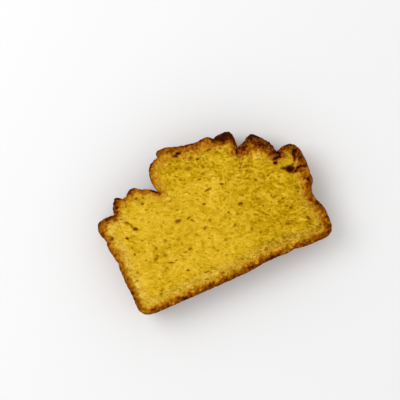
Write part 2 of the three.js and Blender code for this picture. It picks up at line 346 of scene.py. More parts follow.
def spread_round(values: np.ndarray, spread: float) -> np.ndarray:
    """Average a closed ring of values with a bell curve.

    Args:
        values: One row for each place on the ring.
        spread: The bell's standard deviation, in places.

    Returns:
        The averaged values, in the same order.
    """
    count = len(values)
    away = np.minimum(np.arange(count), count - np.arange(count))
    bell = np.exp(-0.5 * (away / spread) ** 2)
    turned = np.fft.fft(values, axis=0) * np.fft.fft(bell / bell.sum())[:, None]
    return np.fft.ifft(turned, axis=0).real


@dataclass
class Rim:
    """Evenly spaced points round the outline, each with what its crust is like.

    Attributes:
        count: How many points there are.
        heart: The point of the face from which the whole outline is in sight.
        blur: How far the looks of two stretches run into each other, in millimetres.
        place: The points.
        away: The direction from the heart to each point.
        shoulder, foot, crag, thick, fade, bake, cut, pale: As in Stretch, for each point.
        tin: 1 where the crust lay against the tin, and 0 elsewhere.
    """

    count: int
    heart: np.ndarray = field(default_factory=lambda: np.array([0.0, 21.0]))
    blur: float = 1.2
    place: np.ndarray = field(init=False)
    away: np.ndarray = field(init=False)
    shoulder: np.ndarray = field(init=False)
    foot: np.ndarray = field(init=False)
    crag: np.ndarray = field(init=False)
    thick: np.ndarray = field(init=False)
    fade: np.ndarray = field(init=False)
    bake: np.ndarray = field(init=False)
    cut: np.ndarray = field(init=False)
    pale: np.ndarray = field(init=False)
    tin: np.ndarray = field(init=False)

    def __post_init__(self) -> None:
        """Walk the stretches in turn, with a point exactly in every notch."""
        starts = [BASE_LEFT, *(stretch.path[-1] for stretch in CRUST)]
        curves = [
            smooth_curve(np.array([start, *stretch.path], dtype=float))
            for start, stretch in zip(starts, CRUST)
        ]
        steps = [np.linalg.norm(np.diff(curve, axis=0), axis=1) for curve in curves]
        lengths = np.array([step.sum() for step in steps])
        ends = np.round(np.cumsum(lengths) / lengths.sum() * self.count).astype(int)
        counts = np.diff([0, *ends])
        places, swells = [], []
        for stretch, curve, step, length, count in zip(CRUST, curves, steps, lengths, counts):
            log.debug("%s: %d rim points", stretch.name, count)
            travelled = np.concatenate([[0.0], np.cumsum(step)])
            along = np.arange(count) / count
            places.append(np.stack([np.interp(along * length, travelled, curve[:, k]) for k in (0, 1)], -1))
            swells.append(np.sqrt(np.sin(np.pi * along)))
        self.place = np.vstack(places)
        toward = self.place - self.heart
        self.away = toward / np.linalg.norm(toward, axis=1, keepdims=True)
        facts = {
            name: np.repeat([float(getattr(stretch, name)) for stretch in CRUST], counts)
            for name in ("shoulder", "foot", "crag", "thick", "fade", "bake", "cut", "pale")
        }
        swell = np.concatenate(swells)
        self.shoulder = swell * facts["shoulder"]
        self.foot = swell * facts["foot"]
        self.crag = facts["crag"]
        tin = np.repeat([float(stretch.rise is Rise.TIN) for stretch in CRUST], counts)
        spread = self.blur * self.count / lengths.sum()
        blurred = ("thick", "fade", "bake", "cut", "pale")
        looks = spread_round(np.stack([*(facts[name] for name in blurred), tin], axis=-1), spread)
        self.thick, self.fade, self.bake, self.cut, self.pale, self.tin = looks.T


# ---- Tears and pores of the cut face.


@dataclass(frozen=True)
class Spot:
    """An oval place on the cut face.

    Attributes:
        x, y: Its middle.
        long, wide: Its half sizes.
        turn: Its long axis, in degrees from x.
    """

    x: float
    y: float
    long: float
    wide: float
    turn: float = 0.0

    @classmethod
    def each(cls, *rows: tuple[float, ...]) -> tuple[Self, ...]:
        """Make one from each row of facts, given in the order of the attributes."""
        return tuple(cls(*row) for row in rows)

    def share(self, places: np.ndarray) -> np.ndarray:
        """How far places belong to it: exp(-0.8 s^3), with s the distance in its half sizes."""
        return np.exp(-0.8 * self.spread(places) ** 1.5)

    def spread(self, places: np.ndarray) -> np.ndarray:
        """Square the distance of places from its middle, measured in its half sizes.

        Args:
            places: The places, with x and y first.

        Returns:
            0 in the middle, 1 on the oval, and more outside.
        """
        turn = math.radians(self.turn)
        x, y = places[..., 0] - self.x, places[..., 1] - self.y
        along = (x * math.cos(turn) + y * math.sin(turn)) / self.long
        across = (y * math.cos(turn) - x * math.sin(turn)) / self.wide
        return along**2 + across**2


@dataclass(frozen=True)
class Pore(Spot):
    """An opening in the cut face.

    Attributes:
        dark: How much shade is painted inside it, from 0 to 1.
        deep: Its depth, or 0 for one that goes with its width and darkness.
    """

    dark: float = 0.5
    deep: float = 0.0

    def depth(self) -> float:
        """Its depth: as given, or else 0.35 + wide * (0.4 + 1.2 * dark), with wide at most 1."""
        return self.deep or 0.35 + min(self.wide, 1.0) * (0.4 + 1.2 * self.dark)

    def shade(self, places: np.ndarray) -> np.ndarray:
        """Painted shade of places from it: dark * exp(-s^2p / 2), with s as in share and p larger if wide.
        """
        power = 2.2 if self.wide > 1.1 else 1.2
        return self.dark * np.exp(-0.5 * self.spread(places) ** power)


@dataclass(frozen=True)
class Stain(Spot):
    """A place that is browner or paler than what is round it.

    Attributes:
        bake: How much browner, or below 0 how much paler.
    """

    bake: float = 0.3


TEARS = Pore.each(
    (47.6, 38.8, 2.8, 1.8, -34, 1.0, 3.4), (48.6, 37.2, 1.4, 1.2, -10, 0.85, 2.6),
    (45.2, 40.4, 2.2, 0.8, -24, 0.8, 2.0), (51.3, 38.2, 1.7, 0.5, -4, 0.85, 1.6),
    (49.5, 40.7, 1.3, 0.45, 26, 0.75, 1.4), (51.6, 44.4, 2.5, 0.6, 80, 0.6, 1.4),
    (53.1, 46.6, 1.2, 0.6, 4, 0.95, 1.4), (48.7, 45.8, 1.3, 0.4, 110, 0.6, 0.9),
    (43.2, 47.1, 1.5, 0.4, 8, 0.75, 1.5), (45.2, 46.5, 0.6, 0.4, 0, 0.5, 0.9),
    (45.0, 49.4, 1.1, 0.35, 110, 0.6, 1.4), (41.5, 44.9, 1.1, 0.8, -25, 0.9, 1.3),
    (51.9, 35.5, 0.7, 0.4, 0, 0.6, 0.9), (-43.4, 51.3, 1.3, 0.4, 150, 0.45, 0.9),
    (-41.2, 48.0, 1.7, 0.5, 138, 0.5, 1.4), (-39.7, 45.6, 1.9, 0.4, 104, 0.5, 1.4),
    (-38.6, 43.6, 1.1, 0.7, 150, 0.8, 1.8), (-16.7, 38.3, 1.6, 0.9, -4, 0.55, 1.4),
    (-3.2, 69.7, 1.5, 0.95, 14, 0.85, 1.3), (16.5, 33.2, 1.15, 0.8, -22, 0.7, 1.2),
    (-28.9, 20.2, 1.7, 0.4, -20, 0.55, 1.2), (25.3, 56.2, 2.6, 0.3, 88, 0.6, 1.2),
    (24.7, 52.0, 2.0, 0.25, 82, 0.45, 0.8), (53.3, 30.6, 1.1, 0.5, -50, 0.7, 1.0),
)
PORES = Pore.each(
    (-11.1, 37.6, 1.3, 0.4, 10, 0.55), (-9.8, 35.7, 1.1, 0.45, -52, 0.5), (-0.8, 40.8, 0.7, 0.5, 0, 0.7),
    (-1.5, 32.0, 0.9, 0.7, 20, 0.4), (-5.5, 29.2, 1.1, 0.8, 0, 0.4), (-20.4, 29.6, 1.2, 1.0, 0, 0.3),
    (-19.8, 26.4, 0.6, 0.5, 0, 0.35), (-32.9, 30.1, 0.8, 1.0, 0, 0.4), (-26.7, 31.7, 0.5, 0.6, 0, 0.4),
    (-33.9, 26.4, 0.9, 0.4, -30, 0.6), (-35.2, 25.1, 1.6, 0.7, 25, 0.5), (-30.1, 24.9, 1.2, 0.9, -20, 0.36),
    (-30.8, 26.8, 1.2, 1.0, 0, 0.25), (-25.9, 27.9, 0.9, 0.7, 0, 0.25), (-19.6, 22.1, 0.6, 0.5, 0, 0.5),
    (-17.0, 22.6, 1.1, 0.65, -5, 0.5), (-32.1, 18.5, 0.8, 0.7, 0, 0.4), (-22.4, 13.0, 0.7, 0.5, -30, 0.65),
    (-4.2, 16.0, 0.8, 0.35, -15, 0.5), (-1.1, 12.1, 0.7, 0.3, -25, 0.5), (-13.9, 8.2, 1.4, 0.4, -10, 0.55),
    (-15.2, 4.6, 1.3, 0.3, -28, 0.55), (-6.7, 4.3, 1.1, 0.7, -15, 0.6), (1.7, 19.4, 0.9, 0.5, 10, 0.4),
    (9.0, 31.6, 0.8, 0.5, -45, 0.5), (26.9, 27.4, 0.4, 0.4, 0, 0.8), (29.0, 24.1, 0.4, 0.35, 0, 0.6),
    (26.3, 35.3, 0.7, 0.3, 15, 0.5), (31.0, 38.2, 1.3, 0.6, -30, 0.35), (28.7, 41.3, 0.9, 0.6, -30, 0.5),
    (35.5, 40.7, 0.55, 0.45, 0, 0.6), (9.3, 24.4, 1.0, 0.6, 10, 0.45), (16.5, 18.8, 1.2, 0.8, 62, 0.4),
    (19.9, 15.4, 0.7, 0.6, 0, 0.5), (26.8, 16.0, 0.8, 0.5, -25, 0.4), (34.7, 13.8, 1.6, 0.8, -20, 0.5),
    (39.5, 20.6, 1.2, 0.9, -20, 0.5), (37.9, 22.4, 1.0, 0.35, -20, 0.6), (37.6, 26.7, 0.7, 0.4, -10, 0.7),
    (39.0, 26.9, 0.4, 0.35, 0, 0.5), (46.2, 26.8, 0.6, 0.45, 0, 0.7), (45.5, 12.1, 1.6, 0.6, 112, 0.7),
    (43.1, 9.0, 0.7, 0.4, 100, 0.45), (49.9, 6.5, 0.6, 0.5, 70, 1.0), (50.2, 19.9, 0.9, 0.5, 85, 0.8),
    (33.8, 29.3, 1.3, 0.7, 0, 0.4), (4.0, 46.7, 1.6, 0.45, 3, 0.65), (11.7, 46.5, 0.9, 0.45, -30, 0.7),
    (2.3, 53.4, 0.9, 0.4, -15, 0.65), (5.2, 55.3, 1.6, 0.6, 0, 0.4), (-6.8, 57.2, 0.9, 0.4, -35, 0.6),
    (-0.8, 60.8, 2.0, 1.1, -8, 0.38), (-6.5, 63.2, 0.7, 0.35, 20, 0.65), (5.7, 63.3, 0.7, 0.5, 0, 0.85),
    (2.8, 65.3, 1.1, 0.8, 0, 0.55), (13.3, 65.4, 1.4, 0.5, -5, 0.85), (-4.5, 66.8, 0.6, 0.45, 0, 0.5),
    (-8.8, 66.7, 0.7, 0.5, 0, 0.5), (-1.0, 66.5, 0.4, 0.35, 0, 0.7), (8.7, 59.7, 0.7, 0.6, 0, 0.4),
    (-12.2, 63.5, 0.9, 0.4, 30, 0.4), (-31.8, 57.8, 0.6, 0.5, 0, 0.85), (-28.5, 56.7, 0.7, 0.5, 60, 0.55),
    (-30.0, 54.0, 0.6, 0.5, 0, 0.75), (-25.2, 52.3, 0.5, 0.4, 0, 0.5), (-38.2, 56.2, 0.5, 0.45, 0, 0.6),
    (-42.7, 57.2, 0.7, 0.5, 0, 0.5), (-51.6, 44.0, 0.6, 0.9, 0, 1.0), (-44.5, 40.9, 0.7, 0.5, -40, 0.95),
    (-42.5, 40.5, 0.9, 0.7, 0, 0.3), (-44.2, 35.5, 0.7, 0.45, -40, 0.45), (-44.4, 31.7, 0.6, 0.4, 20, 0.7),
    (-40.2, 26.6, 0.4, 0.4, 0, 0.6), (-46.9, 22.6, 0.7, 0.6, -50, 0.4), (-48.7, 19.1, 0.5, 0.5, 40, 0.45),
    (-51.0, 18.5, 0.4, 0.4, 0, 0.6), (-39.1, 9.3, 1.2, 0.6, 30, 0.4), (-40.2, 7.6, 1.0, 0.5, 10, 0.5),
)


# Where a stain sits on a tear or pore, the browning it adds there is painted shade in the opening.
STAINS = Stain.each(
    (54.5, 42.4, 4.8, 1.3, 88, 0.2), (50.4, 49.6, 4.4, 1.6, -4, 0.16), (51.8, 44.4, 2.6, 0.8, 80, 0.26),
    (52.0, 38.0, 2.2, 0.9, -5, 0.4), (49.0, 36.9, 1.6, 0.9, -20, 0.4), (53.4, 29.0, 2.4, 1.0, 58, 0.24),
    (53.2, 46.5, 1.3, 0.8, 0, 0.34), (55.2, 37.0, 1.0, 0.7, 0, 0.24), (54.6, 46.4, 0.8, 0.8, 0, -0.14),
    (53.6, 44.4, 1.2, 2.0, 0, 0.06), (54.8, 33.4, 2.6, 0.8, 88, -0.14), (45.0, 49.4, 1.2, 0.6, 110, 0.22),
    (43.1, 47.1, 1.8, 0.6, 8, 0.4), (45.4, 46.8, 1.2, 0.7, 0, 0.2), (41.5, 44.9, 1.3, 0.9, -25, 0.6),
    (28.4, 58.6, 2.8, 2.0, 20, 0.12), (33.6, 58.9, 3.2, 1.5, -16, 0.1), (26.2, 56.8, 0.7, 2.4, 0, 0.2),
    (39.0, 57.6, 5.4, 2.6, -52, 0.14), (35.6, 62.3, 2.2, 1.5, 0, 0.24), (42.6, 51.2, 2.4, 1.0, -60, 0.1),
    (23.2, 68.1, 4.9, 2.3, -4, 0.42), (24.0, 61.6, 1.6, 2.6, 0, -0.2), (20.4, 65.9, 3.0, 1.2, -12, 0.12),
    (15.2, 69.2, 3.0, 1.8, -24, 0.16), (-3.2, 69.8, 2.0, 1.3, 12, 0.3), (-7.2, 73.0, 1.1, 0.7, 0, 0.24),
    (-10.4, 74.2, 1.9, 0.8, -8, 0.16), (-20.2, 61.2, 2.2, 0.8, 88, 0.14), (-18.4, 69.4, 2.0, 0.8, 45, 0.14),
    (-21.6, 57.3, 2.9, 0.6, -44, 0.34), (-32.4, 61.5, 1.7, 1.1, 0, 0.26), (-33.2, 59.6, 1.1, 0.8, 60, 0.24),
    (-41.0, 61.8, 1.9, 0.8, -8, 0.24), (-42.8, 57.3, 0.9, 0.7, 0, 0.34), (-48.8, 54.0, 3.6, 0.8, 2, 0.26),
    (-46.2, 52.6, 1.3, 1.0, 60, 0.22), (-55.3, 48.4, 1.9, 0.6, 0, 0.26), (-54.0, 42.2, 1.0, 0.8, 0, 0.2),
    (-53.6, 14.2, 1.7, 1.0, 82, 0.22), (-53.4, 24.0, 2.2, 0.9, 90, -0.12),
    (-49.8, 11.8, 1.9, 1.2, 90, -0.2), (-30.6, 1.0, 2.2, 0.8, -24, 0.24), (-8.0, 1.0, 2.6, 0.8, 0, 0.16),
    (-11.0, 2.2, 0.9, 0.7, 0, -0.4), (-24.6, 2.0, 1.2, 0.7, 0, -0.32), (-36.4, 0.9, 1.3, 0.7, 30, -0.36),
    (-20.9, 1.3, 1.1, 0.6, 10, -0.3), (-33.4, 2.6, 1.4, 0.8, -20, 0.24), (-47.5, 1.8, 2.4, 0.9, -8, 0.16),
    (-14.4, 1.5, 1.6, 0.9, -20, 0.16), (7.4, 1.6, 1.4, 0.7, 0, 0.16), (19.6, 1.4, 2.6, 1.1, -6, 0.24),
    (11.8, 2.4, 1.0, 0.9, 60, -0.3), (23.9, 0.7, 0.6, 0.6, 0, 0.4), (33.4, 1.0, 0.7, 0.9, 0, 0.34),
    (27.4, 1.6, 1.0, 0.7, 0, -0.26), (30.6, 2.2, 1.3, 0.8, 0, -0.3), (23.4, 3.9, 2.6, 0.9, -6, -0.26),
    (33.3, 4.1, 1.8, 1.2, -12, -0.4), (46.0, 1.2, 4.6, 1.2, 0, 0.14), (52.2, 3.2, 1.9, 1.6, 45, 0.2),
    (52.2, 20.0, 1.2, 0.8, 90, -0.34), (52.8, 17.4, 1.6, 0.9, 60, 0.2),
)


def stained(places: np.ndarray) -> np.ndarray:
    """Say by how much the stains change the browning of places."""
    return sum(stain.bake * stain.share(places) for stain in STAINS)


# Raised pale lumps: their paleness is partly the pale crumb's own colour, and partly a painted highlight
# through the lift of their relief.
CRUMBS = Spot.each(
    (33.4, 4.6, 2.0, 1.1, -15), (-24.2, 4.0, 1.8, 0.8, -20), (-14.8, 3.2, 2.0, 0.6, -28),
    (-9.6, 5.6, 1.4, 1.2, -40), (49.4, 22.4, 1.6, 0.9, -50), (47.0, 25.2, 1.8, 0.7, -35),
    (52.2, 19.7, 0.7, 0.8), (54.2, 31.2, 0.8, 0.4, -40), (24.6, 4.2, 2.2, 0.8, 8),
    (33.4, 52.0, 3.2, 0.45, -36), (38.6, 48.0, 2.4, 0.5, -46), (24.2, 50.6, 1.6, 0.5, -62),
    (53.0, 37.3, 0.7, 0.5, -30), (50.0, 39.6, 0.7, 0.6, -60), (-49.6, 11.2, 1.6, 1.2, 20),
    (46.8, 37.6, 1.6, 0.5, -50), (-49.4, 50.2, 1.8, 1.0, -20), (30.6, 41.0, 1.6, 0.6, 20),
)


def crumbs(places: np.ndarray) -> np.ndarray:
    """Say how far places belong to a pale crumb that stands up from the face, from 0 to 1."""
    return np.max([crumb.share(places) for crumb in CRUMBS], axis=0)


@dataclass
class Openings:
    """What the tears and pores take out of the cut face, point by point.

    Attributes:
        depth: How deep the openings are.
        dark: How much shade is painted inside them, from 0 to 1.
    """

    depth: np.ndarray
    dark: np.ndarray

    @classmethod
    def over(cls, points: np.ndarray, ragged: Stray = Stray(0.25, 1.4, (40, 50))) -> "Openings":
        """Open every tear and pore of a face.

        A pore is a bowl: its depth is the square root of 1 - r^2, with r the distance from its middle
        in half sizes, and its edge is made ragged by shifting the points first.

        Args:
            points: The face's points, with three numbers each.
            ragged: The shift.

        Returns:
            The depth and the painted shade at each point.
        """
        shifted = points[:, :2] + ragged.at(points)
        depth = np.zeros(len(points))
        dark = np.zeros(len(points))
        for pore in TEARS + PORES:
            bowl = np.sqrt(np.clip(1.0 - pore.spread(shifted), 0.0, 1.0))
            depth = np.maximum(depth, pore.depth() * bowl)
            dark = np.maximum(dark, pore.shade(shifted))
        return cls(depth, dark)


# ---- The slice.


@dataclass
class Sheet:
    """Points of a surface with what the finish reads from them.

    Attributes:
        points: The points.
        lift: Height of the fine relief, from 0 in a hollow to 1 on a ridge, painted from shade to
            highlight.
        bake: How brown the surface is, from 0 to 1.
        pale: How pale and fine the crumb is, from 0 to 1.
        pore_shade: How much shade is painted inside an opening, pit or shallow dent, from 0 to 1.
        warm: How red its brown is, from 0 to 1.
    """

    points: np.ndarray
    lift: np.ndarray
    bake: np.ndarray
    pale: np.ndarray
    pore_shade: np.ndarray
    warm: np.ndarray


@dataclass(frozen=True)
class Redness:
    """How red the brown of the crust is, from 0 to 1.

    Attributes:
        patchy: How much it changes from patch to patch.
        burst: What it is in the mean where the crust burst.
        tin_loss: How much less it is against the tin.
        patches: Its patches.
    """

    patchy: float
    burst: float = 0.66
    tin_loss: float = 0.1
    patches: Layers = Layers(((0.5, 5.0, 161), (1.0, 1.7, 163)))

    def at(self, points: np.ndarray, tin: np.ndarray) -> np.ndarray:
        """Read it at points, with tin 1 where the crust lay against the tin, and 0 elsewhere."""
        return np.clip(self.burst - self.tin_loss * tin + self.patchy * self.patches.at(points), 0.0, 1.0)


@dataclass
class Crust:
    """The crust round the slice, from the upper cut face down to the resting face.

    Attributes:
        rim: The outline that it follows.
        levels: Rows of quads down the crust.
        crowded: How far the rows are drawn together near both faces, from 0 to 1.
        edge_reach, edge_slope: How deep the rounding of its edges goes, at least and for each
            millimetre of lean.
        lumps: Noise whose zero crossings are the creases between its lumps.
        lump_reach: Depth at which the lumps reach their full height.
        crease_depth, crease_width: The creases, in millimetres and as a part of the noise's range.
        swells, swell_depth: The slower rise and fall of the burst crust.
        knobs, knots, nubs, grains: Its fine relief, from coarse to fine.
        knob_height, knot_height, nub_height: How far they stand up on burst crust.
        grain_height, skin_height: How far grains and nubs stand up everywhere.
        pits, pit_depth: The pits of the crust that lay against the tin.
        drifts, drift: The slow waves in which its fissures stray sideways, and how far.
        tin_top, free_from: Height up the slice from which it strays, and how much further up in full.
        sight: How far in a place seems for each millimetre down, to an eye close above.
        rags, rag_squeeze: The ragged fringe of its outline, and how the noise is squeezed along x, y, z.
        rag, crag_rag: How far the fringe goes, at least and more on rough crust.
        flank: How brown its flank is, as a part of its upper edge's brown.
        blotches, patches: The blotches and slower patches of its brown.
        blotch: How strong the blotches are.
        crease_pale: How much paler a crease is.
        stains_end: The depths between which the cut face's stains fade out on it.
        least: How brown it is at least.
        redness: How red its brown is.
    """

    rim: Rim
    levels: int = 44
    crowded: float = 0.45
    edge_reach: float = 1.6
    edge_slope: float = 1.25
    lumps: Noise = Noise(7.0, 11)
    lump_reach: float = 6.0
    crease_depth: float = 1.9
    crease_width: float = 0.55
    swells: Noise = Noise(11.0, 23)
    swell_depth: float = 1.7
    knobs: Scatter = Scatter(5.2, 61)
    knots: Scatter = Scatter(2.7, 63)
    nubs: Noise = Noise(1.5, 65)
    grains: Noise = Noise(0.9, 67)
    knob_height: float = 1.7
    knot_height: float = 0.7
    nub_height: float = 0.4
    grain_height: float = 0.22
    skin_height: float = 0.16
    pits: Scatter = Scatter(2.3, 71)
    pit_depth: float = 0.6
    drifts: Noise = Noise(17.0, 37)
    drift: float = 1.4
    tin_top: float = 30.0
    free_from: float = 20.0
    sight: float = 0.08
    rags: Layers = Layers(((1.0, 1.7, 83), (0.6, 0.9, 85)))
    rag_squeeze: tuple[float, float, float] = (1.0, 1.0, 0.35)
    rag: float = 0.22
    crag_rag: float = 0.25
    flank: float = 0.8
    blotches: Layers = Layers(((1.0, 1.6, 87), (0.6, 0.9, 93)))
    patches: Layers = Layers(((0.12, 9.0, 89), (0.1, 3.5, 91)))
    blotch: float = 0.1
    crease_pale: float = 0.2
    stains_end: tuple[float, float] = (1.0, 7.0)
    least: float = 0.12
    redness: Redness = Redness(patchy=0.4)

    def edge_share(self, lean: np.ndarray, distance: np.ndarray) -> np.ndarray:
        """How far into a face's rounding a point is: 1 at the face, and 0 from its reach on."""
        return np.clip(1.0 - distance / (self.edge_reach + self.edge_slope * lean), 0.0, 1.0)

    def edge_inset(self, lean: np.ndarray, distance: np.ndarray) -> np.ndarray:
        """How far the crust lies back near a cut face: lean * (1 - sqrt(1 - share^2)).

        Args:
            lean: How far it lies back at the face itself.
            distance: How far the point is from that face.

        Returns:
            The inset.
        """
        return lean * (1.0 - np.sqrt(1.0 - self.edge_share(lean, distance) ** 2))

    def roughness(self, places: np.ndarray, settled: np.ndarray) -> tuple[np.ndarray, np.ndarray]:
        """Work out the finer relief: knobs on burst crust, pits in tin crust, and grain on both.

        Round the middle of a knob or a knot the crust is drawn in by (d / 0.75)^2 of its height, with
        d the distance in pitches, and by 1 at most. A pit is a bowl, and a third of them is left out.

        Args:
            places: The crust's points before they are drawn in.
            settled: How far each has reached its full relief, from 0 to 1.

        Returns:
            How far the fine relief draws each point in, and how proud the point stands, from 0 to 1.
        """
        rim = self.rim
        knob, knot = (
            np.clip(heap.near(places)[0] / 0.75, 0.0, 1.0) ** 2 for heap in (self.knobs, self.knots)
        )
        nub, grain = (0.5 + 0.5 * noise.at(places) for noise in (self.nubs, self.grains))
        pit, own = self.pits.near(places)
        pits = np.sqrt(np.clip(1.0 - pit / (0.16 + 0.2 * own), 0.0, 1.0)) * (own > 0.35)
        burst = 1.0 - rim.tin
        coarse = self.knob_height * knob + self.knot_height * knot + self.nub_height * nub
        skin = self.grain_height * grain + self.skin_height * nub + rim.tin * self.pit_depth * pits
        inset = burst * rim.crag * settled * coarse + (0.3 + 0.7 * settled) * skin
        proud = 1.0 - burst * (0.4 * knob + 0.2 * knot) - 0.25 * nub - 0.15 * grain - 0.5 * rim.tin * pits
        return inset, np.clip(proud, 0.0, 1.0)

    def sheet(self) -> Sheet:
        """Work out the crust as a grid, a row for each level from the upper cut face down.

        A rim point goes straight down, drawn in towards the heart by the rounding of both edges, by
        creases where the lumps' noise crosses 0, by slow swells and by the fine relief. Above the tin
        whole levels stray sideways in slow waves. What then seems its least inset from above is taken
        off, so that it comes out to the outline on its way down. The rim itself is ragged by noise.

        Returns:
            The crust's points, row after row.
        """
        rim = self.rim
        t = np.linspace(0.0, 1.0, self.levels + 1)[:, None]
        crowding = 0.5 - 0.5 * np.cos(np.pi * t)
        depth = THICKNESS * ((1.0 - self.crowded) * t + self.crowded * crowding)
        height = THICKNESS - depth
        shape = (len(t), rim.count)
        places = np.empty((*shape, 3))
        places[..., :2] = rim.place
        places[..., 2] = height
        settled = np.clip(depth / self.lump_reach, 0.0, 1.0)
        crease = np.clip(1.0 - np.abs(self.lumps.at(places)) / self.crease_width, 0.0, 1.0) ** 2
        swell = 0.5 + 0.5 * self.swells.at(places)
        relief = rim.crag * settled * (self.crease_depth * crease + self.swell_depth * swell)
        rounding = self.edge_inset(rim.shoulder, depth)
        fine, proud = self.roughness(places, settled)
        inset = rounding + self.edge_inset(rim.foot, height) + relief + fine
        free = np.clip((places[..., 1] - self.tin_top) / self.free_from, 0.0, 1.0)
        stray = self.drift * free * settled * self.drifts.at(places)
        inset -= (inset - stray * rim.away[:, 0] + self.sight * depth).min(axis=0)
        ragged = self.rags.at(places * self.rag_squeeze)
        inset += (self.rag + self.crag_rag * rim.crag) * (np.clip(0.25 + ragged, 0.0, None) - 0.4)
        points = places.copy()
        points[..., :2] -= rim.away * inset[..., None]
        points[..., 0] += stray
        return Sheet(points.reshape(-1, 3), *self.looks(places, depth, crease, proud))

    def looks(
        self, places: np.ndarray, depth: np.ndarray, crease: np.ndarray, proud: np.ndarray
    ) -> tuple[np.ndarray, ...]:
        """Brown the crust: darkest along its upper edge and where it stands proud, and in patches.

        Args:
            places: The crust's points before they are drawn in.
            depth: How far below the upper cut face they are.
            crease: How deep in a crease they are, from 0 to 1.
            proud: How proud they stand, from 0 to 1.

        Returns:
            Its lift, bake, pale, hole and warm, for each point.
        """
        rim = self.rim
        share = self.edge_share(rim.shoulder, depth)
        back = 1.0 - np.sqrt(1.0 - share**2)
        bake = rim.bake * (self.flank + (1.0 - self.flank) * ease(share, 0.0, 0.3))
        bake = bake + (rim.cut - rim.bake) * ease(back, 0.3, 1.0)
        patches = self.patches.at(places) + self.blotch * blotched(self.blotches.at(places))
        strong = 0.18 + 0.3 * rim.crag * (1.0 - rim.tin)
        bake = bake + patches + strong * (proud - 0.5) - self.crease_pale * rim.crag * crease
        bake = bake + stained(places) * (1.0 - ease(depth, *self.stains_end))
        nothing = np.zeros(bake.size)
        warm = self.redness.at(places, rim.tin).ravel()
        return proud.ravel(), np.clip(bake, self.least, 1.0).ravel(), nothing, nothing, warm


